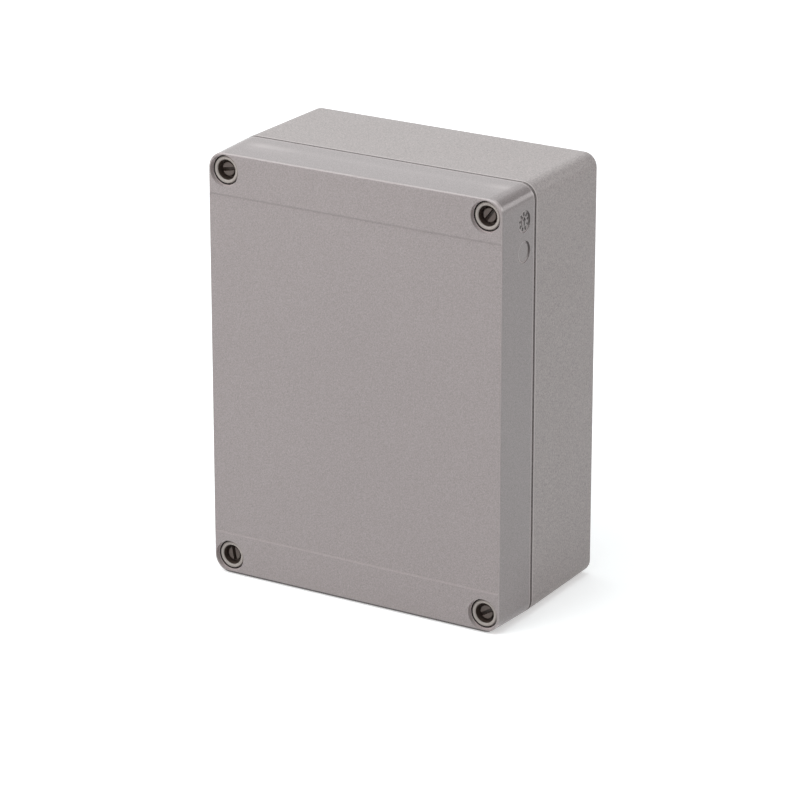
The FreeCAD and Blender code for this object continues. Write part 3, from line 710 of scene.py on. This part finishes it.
class ENCLOSURE_OT_finish_metal(bpy.types.Operator):
    """Give the inserts their brass and the pins and small screws their steel"""

    bl_idname = "enclosure.finish_metal"
    bl_label = "Finish Metal"

    def execute(self, context):
        finish = context.scene.enclosure_small
        brass = turned_metal("turned_brass", finish.brass_colour, 0.34)
        steel = turned_metal("bright_steel", finish.steel_colour, 0.30)
        for corner in CORNERS:
            dress("lid_insert_" + corner, brass)
            dress("plate_insert_" + corner, brass)
        for hinge in HINGES:
            dress("hinge_pin_" + hinge, steel)
            for row in ("top", "bottom"):
                dress("base_leaf_screw_%s_%s" % (hinge, row), steel)
                dress("lid_leaf_screw_%s_%s" % (hinge, row), steel)
        return {"FINISHED"}


class ENCLOSURE_OT_build_threads(bpy.types.Operator):
    """Wind a many-start thread round the lower end of each captive screw"""

    bl_idname = "enclosure.build_threads"
    bl_label = "Build Screw Threads"

    def execute(self, context):
        sizes = context.scene.enclosure_thread
        mat = bpy.data.materials["screw_plastic"]
        for corner in CORNERS:
            node = "lid_screw_" + corner
            middle = node_centre(node)
            high_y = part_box(node)[1].y
            end_y, start_y = (high_y - at for at in THREAD_FROM_END)
            points, faces = thread_surface(sizes, end_y, start_y)
            points[:, 0] += middle.x
            points[:, 2] += middle.z
            piece = make_piece("screw_thread_" + corner, points, faces, mat, "screw_" + corner)
        return {"FINISHED"}


class ENCLOSURE_OT_build_seal(bpy.types.Operator):
    """Lay the domed foam seal along the stepped groove of the lid"""

    bl_idname = "enclosure.build_seal"
    bl_label = "Build Foam Seal"

    def execute(self, context):
        sizes = context.scene.enclosure_seal
        points, faces = seal_surface(sizes)
        mat = bpy.data.materials["foamed_seal"]
        piece = make_piece("foam_bead", points, faces, mat, "lid")
        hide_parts("lid_gasket")
        return {"FINISHED"}


def stepped_path(sizes, per_corner):
    """Points and outward directions along a rectangle with stepped corners.

    Each corner is a quarter circle of the angle t about its centre, so a point
    is centre + radius * (cos t, sin t); at the inward corners the direction is
    turned about, because there the path bends the other way.
    """
    w, h, sx, sz = sizes.half_width, sizes.half_height, sizes.step_x, sizes.step_z
    out, inn = sizes.outward, sizes.inward
    t = np.linspace(0, np.pi / 2, per_corner)
    corners = [
        ((w - out, sz - out), out, t, 1.0),
        ((sx + inn, sz + inn), inn, 1.5 * np.pi - t, -1.0),
        ((sx - out, h - out), out, t, 1.0),
    ]
    quarter, facing = [], []
    for centre, radius, angle, sign in corners:
        way = np.stack([np.cos(angle), np.sin(angle)], axis=-1)
        quarter.append(np.asarray(centre) + radius * way)
        facing.append(sign * way)
    quarter, facing = np.concatenate(quarter), np.concatenate(facing)
    runs = []
    for flip_x, flip_z in ((1, 1), (-1, 1), (-1, -1), (1, -1)):
        flip = np.array([flip_x, flip_z])
        order = 1 if flip_x * flip_z > 0 else -1
        runs.append((quarter[::order] * flip, facing[::order] * flip))
    return np.concatenate([r[0] for r in runs]), np.concatenate([r[1] for r in runs])


def seal_surface(sizes):
    """The foam bead: a blunt dome carried along the stepped path.

    Across the bead by the angle b, a point lies width / 2 * |cos b| ** 0.6
    outwards, or inwards past the crown, and height * sin(b) ** 0.8 above the
    groove's floor, with a slow swell along the path.
    """
    per_corner, across_count = 9, 13
    path, facing = stepped_path(sizes, per_corner)
    b = np.linspace(0, np.pi, across_count)
    count = len(path)
    swell = 1 - 0.03 * (1 + np.sin(np.arange(count) * 6 * np.pi / count))
    across = sizes.width / 2 * np.sign(np.cos(b)) * np.abs(np.cos(b)) ** 0.6
    above = sizes.height * np.sin(b) ** 0.8
    flat = path[:, None, :] + across[None, :, None] * facing[:, None, :]
    y = sizes.floor_y + above[None, :] * swell[:, None]
    points = np.stack([flat[..., 0], y, flat[..., 1]], axis=-1)
    faces = grid_faces(count, len(b), close_rows=True, close_columns=True)
    return points.reshape(-1, 3), faces[:, ::-1]


def thread_surface(sizes, end_y, start_y):
    """A threaded sleeve about the Y axis.

    Around the axis by the angle a and along it by y, the radius swings between
    root and crest as a clipped triangle wave of (y / pitch + starts * a / (2 pi)),
    and fades to the root at both ends.
    """
    around, along = 64, 72
    a = np.linspace(0, 2 * np.pi, around, endpoint=False)
    y = np.linspace(start_y, end_y, along)
    yy, aa = np.meshgrid(y, a, indexing="ij")
    phase = yy / sizes.pitch + sizes.starts * aa / (2 * np.pi)
    wave = np.abs(2 * (phase - np.floor(phase)) - 1)
    wave = np.clip(1.25 * wave - 0.1, 0, 1)
    fade = np.clip(np.minimum(yy - start_y, end_y - yy) / (0.7 * sizes.pitch), 0, 1)
    radius = sizes.root + (sizes.crest - sizes.root) * wave * fade
    points = np.stack([radius * np.cos(aa), yy, radius * np.sin(aa)], axis=-1)
    return points.reshape(-1, 3), grid_faces(along, around, close_columns=True)[:, ::-1]


class ENCLOSURE_OT_build_gap_shades(bpy.types.Operator):
    """Lay a black ring of painted shade in the gap round each captive screw's head"""

    bl_idname = "enclosure.build_lips"
    bl_label = "Build Screw Gap Shades"

    def execute(self, context):
        sizes = context.scene.enclosure_lip
        # black of painted shade in the gap round each screw head
        mat = foam_rubber("gap_shade_black", (0.010, 0.008, 0.008), 0.0002, specular=0.1)
        for corner in CORNERS:
            middle = node_centre("lid_screw_" + corner)
            points, faces = gap_shade_surface(sizes, middle.x, middle.z)
            piece = make_piece("screw_gap_shade_" + corner, points, faces, mat, "lid")
        return {"FINISHED"}


def gap_shade_surface(sizes, x, z):
    """A ring with a half-elliptic section.

    Round the screw by the angle a and over the lip by the angle b, the distance
    from the axis is radius + half_width * cos b and Y is shelf - height * sin b.
    """
    around, across = 96, 9
    a = np.linspace(0, 2 * np.pi, around, endpoint=False)
    b = np.linspace(0, np.pi, across)
    aa, bb = np.meshgrid(a, b, indexing="ij")
    reach = sizes.radius + sizes.half_width * np.cos(bb)
    y = sizes.shelf_y - sizes.height * np.sin(bb)
    points = np.stack([x + reach * np.cos(aa), y, z + reach * np.sin(aa)], axis=-1)
    return points.reshape(-1, 3), grid_faces(around, across, close_rows=True)[:, ::-1]


class ENCLOSURE_OT_build_dial(bpy.types.Operator):
    """Raise a ring of strokes, an arrow and two rims in the mould marks, the rims pale as painted
    highlight and the strokes dark as painted shade, and lay a dark crescent of painted shadow in
    each mark
    """

    bl_idname = "enclosure.build_dial"
    bl_label = "Build Mould Marks"

    def execute(self, context):
        sizes = context.scene.enclosure_mark
        # pale rims: painted highlight
        pale = tinted(context.scene.enclosure_shell.lid_colour, 2.2)
        mat, _ = moulded_plastic(
            "mark_rim_highlight", pale, roughness=0.4, grain=0.0006,
            grain_depth=0.00001, flecks=0.0, speckle=0.1)
        for name, z in (("dial_rim", sizes.high_z), ("disc_rim", sizes.low_z)):
            points, faces = rim_surface(sizes, z)
            piece = make_piece(name, points, faces, mat, "lid")
        points, faces = dial_strokes(sizes)
        # dark strokes as painted shade and crescents as painted shadow
        shade, _ = moulded_plastic(
            "mark_painted_shade", (0.075, 0.066, 0.064), roughness=0.6, grain=0.0004,
            grain_depth=0.00001, flecks=0.0, speckle=0.1)
        piece = make_piece("dial_strokes", points, faces, shade, "lid", smooth=False)
        for name, z in (("dial_shadow", sizes.high_z), ("disc_shadow", sizes.low_z)):
            points, faces = crescent_surface(sizes, z)
            piece = make_piece(name, points, faces, shade, "lid")
        return {"FINISHED"}


def crescent_surface(sizes, z):
    """Painted shadow along the wall side of a mark, as a low dark crescent.

    By the angle a from the wall direction, the crescent runs from the outer
    radius inwards by widest * cos(a) ** 1.5, and rises in its middle by
    crown * sin(pi * v), where v goes from 0 to 1 across it.
    """
    around, across = 61, 7
    widest, inset, lift, crown, lean = 0.0008, 0.00002, 0.00021, 0.00003, 0.25
    a = np.linspace(-0.47 * np.pi, 0.47 * np.pi, around)
    v = np.linspace(0, 1, across)
    aa, vv = np.meshgrid(a, v, indexing="ij")
    gap = widest * np.cos(aa) ** 1.5
    reach = sizes.radius - inset - gap * vv
    x = sizes.floor_x + lift + crown * np.sin(np.pi * vv)
    turn = aa + lean
    y = sizes.centre_y + reach * np.cos(turn)
    points = np.stack([x, y, z + reach * np.sin(turn)], axis=-1)
    return points.reshape(-1, 3), grid_faces(around, across)


def rim_surface(sizes, z):
    """A low rounded bead round a mark.

    The bead's section is a half ellipse of the angle b, carried round the circle
    of the angle a: X is floor - sunk + height * sin b, and the distance from the
    mark's centre is radius - inset - half_width * cos b.
    """
    around, across = 72, 9
    inset, half_width, sunk, height = 0.00030, 0.00016, 0.00002, 0.00020
    a = np.linspace(0, 2 * np.pi, around, endpoint=False)
    b = np.linspace(0, np.pi, across)
    aa, bb = np.meshgrid(a, b, indexing="ij")
    reach = sizes.radius - inset - half_width * np.cos(bb)
    x = sizes.floor_x - sunk + height * np.sin(bb)
    points = np.stack([x, sizes.centre_y + reach * np.cos(aa), z + reach * np.sin(aa)], axis=-1)
    return points.reshape(-1, 3), grid_faces(around, across, close_rows=True)


def box_strokes(boxes, low_x, high_x):
    """Closed bars standing on the floor; each is centre, length, width, angle."""
    boxes = np.asarray(boxes, float)
    cy, cz, length, width, angle = boxes.T
    u = np.array([-0.5, 0.5, 0.5, -0.5])
    v = np.array([-0.5, -0.5, 0.5, 0.5])
    along = length[:, None] * u
    across = width[:, None] * v
    y = cy[:, None] + along * np.cos(angle)[:, None] - across * np.sin(angle)[:, None]
    z = cz[:, None] + along * np.sin(angle)[:, None] + across * np.cos(angle)[:, None]
    low = np.stack([np.full_like(y, low_x), y, z], axis=-1)
    high = np.stack([np.full_like(y, high_x), y, z], axis=-1)
    points = np.concatenate([low, high], axis=1).reshape(-1, 3)
    cell = np.array([
        [3, 2, 1, 0], [4, 5, 6, 7], [0, 1, 5, 4],
        [1, 2, 6, 5], [2, 3, 7, 6], [3, 0, 4, 7]])
    faces = (np.arange(len(boxes)) * 8)[:, None, None] + cell
    return points, faces.reshape(-1, 4)


def dial_strokes(sizes):
    """Nine short strokes in a ring and an arrow of three bars on the hub."""
    turn = np.arange(9) * np.pi / 4.5 + 0.2
    ring, length, width = 0.00335, 0.0015, 0.00075
    rows = [(sizes.centre_y + ring * math.cos(t), sizes.high_z + ring * math.sin(t),
             length, width, t) for t in turn]
    points, faces = box_strokes(rows, sizes.floor_x - 0.00002, sizes.floor_x + 0.00016)
    tip = (sizes.centre_y, sizes.high_z + 0.0015)
    beside, below, barb, barb_width = 0.00042, 0.00045, 0.0016, 0.00056
    shaft, shaft_width = 0.0032, 0.00062
    arrow = [
        (sizes.centre_y, sizes.high_z - 0.0001, shaft, shaft_width, math.pi / 2),
        (tip[0] - beside, tip[1] - below, barb, barb_width, math.radians(50)),
        (tip[0] + beside, tip[1] - below, barb, barb_width, math.radians(130)),
    ]
    more, more_faces = box_strokes(arrow, sizes.floor_x + 0.0002, sizes.floor_x + 0.00036)
    return np.concatenate([points, more]), np.concatenate([faces, more_faces + len(points)])


# ------------------------------------------------------------------- stage


def add_lamp(name, place, aim, size, colour, power):
    """A soft rectangular lamp that looks at a point."""
    data = bpy.data.lights.new(name, "AREA")
    data.shape = "RECTANGLE"
    data.size, data.size_y = size
    data.energy = power
    data.color = colour
    lamp = place_object(name, data)
    lamp.location = place
    direction = Vector(aim) - Vector(place)
    lamp.rotation_euler = direction.to_track_quat("-Z", "Y").to_euler()


def seen_directly(tree):
    """1 for camera, glossy and transmission rays and 0 for the light's own."""
    path = tree.nodes.new("ShaderNodeLightPath").outputs
    either = add_math(tree, "MAXIMUM", path["Is Camera Ray"], path["Is Glossy Ray"])
    return add_math(tree, "MAXIMUM", either, path["Is Transmission Ray"])


def matt_tone(name, scale, low, high):
    """A matt grey with slow changes; low and high are each a place and a level."""
    mat, tree, shader = new_material(name)
    stops = [(place, (level,) * 3) for place, level in (low, high)]
    tone = add_ramp(tree, add_noise(tree, scale, 2.0, 0.5), stops)
    tree.links.new(tone, shader.inputs["Base Color"])
    shader.inputs["Roughness"].default_value = 0.9
    return mat


def make_sheet(name, corners, mat):
    """A flat four-sided object."""
    mesh = bpy.data.meshes.new(name)
    mesh.from_pydata(corners, [], [(0, 1, 2, 3)])
    mesh.materials.append(mat)
    return place_object(name, mesh)


def add_card():
    """A dark card high behind the object, which the glossy corners mirror."""
    mat = matt_tone("card_black", 300.0, (0.3, 0.02), (0.7, 0.03))
    card = make_sheet("studio_card", CARD_CORNERS, mat)


def build_world(ambient):
    """An even light all round; the camera and reflections see plain white."""
    world = bpy.data.worlds.new("studio_air")
    world.use_nodes = True
    tree = world.node_tree
    tree.nodes.clear()
    out = tree.nodes.new("ShaderNodeOutputWorld")
    soft = tree.nodes.new("ShaderNodeBackground")
    soft.inputs["Color"].default_value = (1.0, 0.985, 0.98, 1)
    soft.inputs["Strength"].default_value = ambient
    white = tree.nodes.new("ShaderNodeBackground")
    white.inputs["Color"].default_value = (1, 1, 1, 1)
    white.inputs["Strength"].default_value = 1.0
    mix = tree.nodes.new("ShaderNodeMixShader")
    tree.links.new(seen_directly(tree), mix.inputs["Fac"])
    tree.links.new(soft.outputs["Background"], mix.inputs[1])
    tree.links.new(white.outputs["Background"], mix.inputs[2])
    tree.links.new(mix.outputs["Shader"], out.inputs["Surface"])
    bpy.context.scene.world = world


def build_floor(level):
    """A wide pale floor that keeps the object's shadow."""
    mat = matt_tone("floor_white", 3.0, (0.2, 0.83), (0.8, 0.85))
    set_specular(mat, 0.0)
    half = FLOOR_HALF_WIDTH
    floor = make_sheet("studio_floor", [
        (-half, -half, level), (half, -half, level),
        (half, half, level), (-half, half, level)], mat)
    return mat


def lift_floor(mat, near_glow):
    """Let the camera see the floor glow towards white, more so far from the object."""
    tree = mat.node_tree
    out = next(n for n in tree.nodes if n.type == "OUTPUT_MATERIAL")
    away = add_vector_math(tree, "LENGTH", coordinates(tree)).outputs["Value"]
    level = add_range(tree, away, near_glow, 1.0, 0.5, 1.8)
    glow = tree.nodes.new("ShaderNodeEmission")
    tree.links.new(add_math(tree, "MULTIPLY", seen_directly(tree), level), glow.inputs["Strength"])
    add = tree.nodes.new("ShaderNodeAddShader")
    tree.links.new(main_shader(mat).outputs["BSDF"], add.inputs[0])
    tree.links.new(glow.outputs["Emission"], add.inputs[1])
    tree.links.new(add.outputs["Shader"], out.inputs["Surface"])


def add_camera(stage):
    """The camera at its angles and distance from the point it looks at."""
    data = bpy.data.cameras.new("studio_camera")
    data.sensor_width = 36.0
    data.sensor_fit = "HORIZONTAL"
    data.lens = stage.lens
    data.clip_start = 0.05
    data.clip_end = 30.0
    camera = place_object("studio_camera", data)
    a, e = stage.azimuth, stage.elevation
    back = Vector((math.sin(a) * math.cos(e), -math.cos(a) * math.cos(e), math.sin(e)))
    camera.location = Vector(stage.target) + back * stage.distance
    camera.rotation_euler = (-back).to_track_quat("-Z", "Y").to_euler()
    return camera


class ENCLOSURE_OT_build_stage(bpy.types.Operator):
    """Set up the floor, the lamps, the world and the camera"""

    bl_idname = "enclosure.build_stage"
    bl_label = "Build Stage"

    def execute(self, context):
        stage = context.scene.enclosure_stage
        build_world(stage.ambient)
        level = min(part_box(node)[0].z for node in ("base_shell", "lid_shell"))
        lift_floor(build_floor(level), FLOOR_NEAR_GLOW)
        powers = (stage.key_power, stage.front_power, stage.side_power)
        for lamp, power in zip(LAMPS, powers):
            add_lamp(*lamp, power)
        add_card()
        context.scene.camera = add_camera(stage)
        context.scene.view_settings.view_transform = "Standard"
        return {"FINISHED"}


class ENCLOSURE_PT_panel(bpy.types.Panel):
    """The steps of the dressing, in order"""

    bl_label = "Enclosure"
    bl_idname = "ENCLOSURE_PT_panel"
    bl_space_type = "VIEW_3D"
    bl_region_type = "UI"
    bl_category = "Enclosure"

    def draw(self, context):
        for step in STEPS:
            self.layout.operator("enclosure." + step)


STEPS = (
    "finish_shells",
    "finish_screws",
    "finish_seals",
    "finish_metal",
    "build_threads",
    "build_seal",
    "build_lips",
    "build_dial",
    "build_stage",
)
GROUPS = (
    ("enclosure_shell", ShellFinish),
    ("enclosure_small", SmallPartFinish),
    ("enclosure_thread", ThreadSizes),
    ("enclosure_seal", SealSizes),
    ("enclosure_lip", GapShadeSizes),
    ("enclosure_mark", MarkSizes),
    ("enclosure_stage", StageSettings),
)
CLASSES = (
    ShellFinish,
    SmallPartFinish,
    ThreadSizes,
    SealSizes,
    GapShadeSizes,
    MarkSizes,
    StageSettings,
    ENCLOSURE_OT_finish_shells,
    ENCLOSURE_OT_finish_screws,
    ENCLOSURE_OT_finish_seals,
    ENCLOSURE_OT_finish_metal,
    ENCLOSURE_OT_build_threads,
    ENCLOSURE_OT_build_seal,
    ENCLOSURE_OT_build_gap_shades,
    ENCLOSURE_OT_build_dial,
    ENCLOSURE_OT_build_stage,
    ENCLOSURE_PT_panel,
)


def register():
    for cls in CLASSES:
        bpy.utils.register_class(cls)
    for name, group in GROUPS:
        setattr(bpy.types.Scene, name, bpy.props.PointerProperty(type=group))


def unregister():
    for name, _ in GROUPS:
        delattr(bpy.types.Scene, name)
    for cls in reversed(CLASSES):
        bpy.utils.unregister_class(cls)


def main():
    """Run every step in order."""
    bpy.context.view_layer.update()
    register()
    for step in STEPS:
        getattr(bpy.ops.enclosure, step)()


if __name__ == "__main__":
    main()
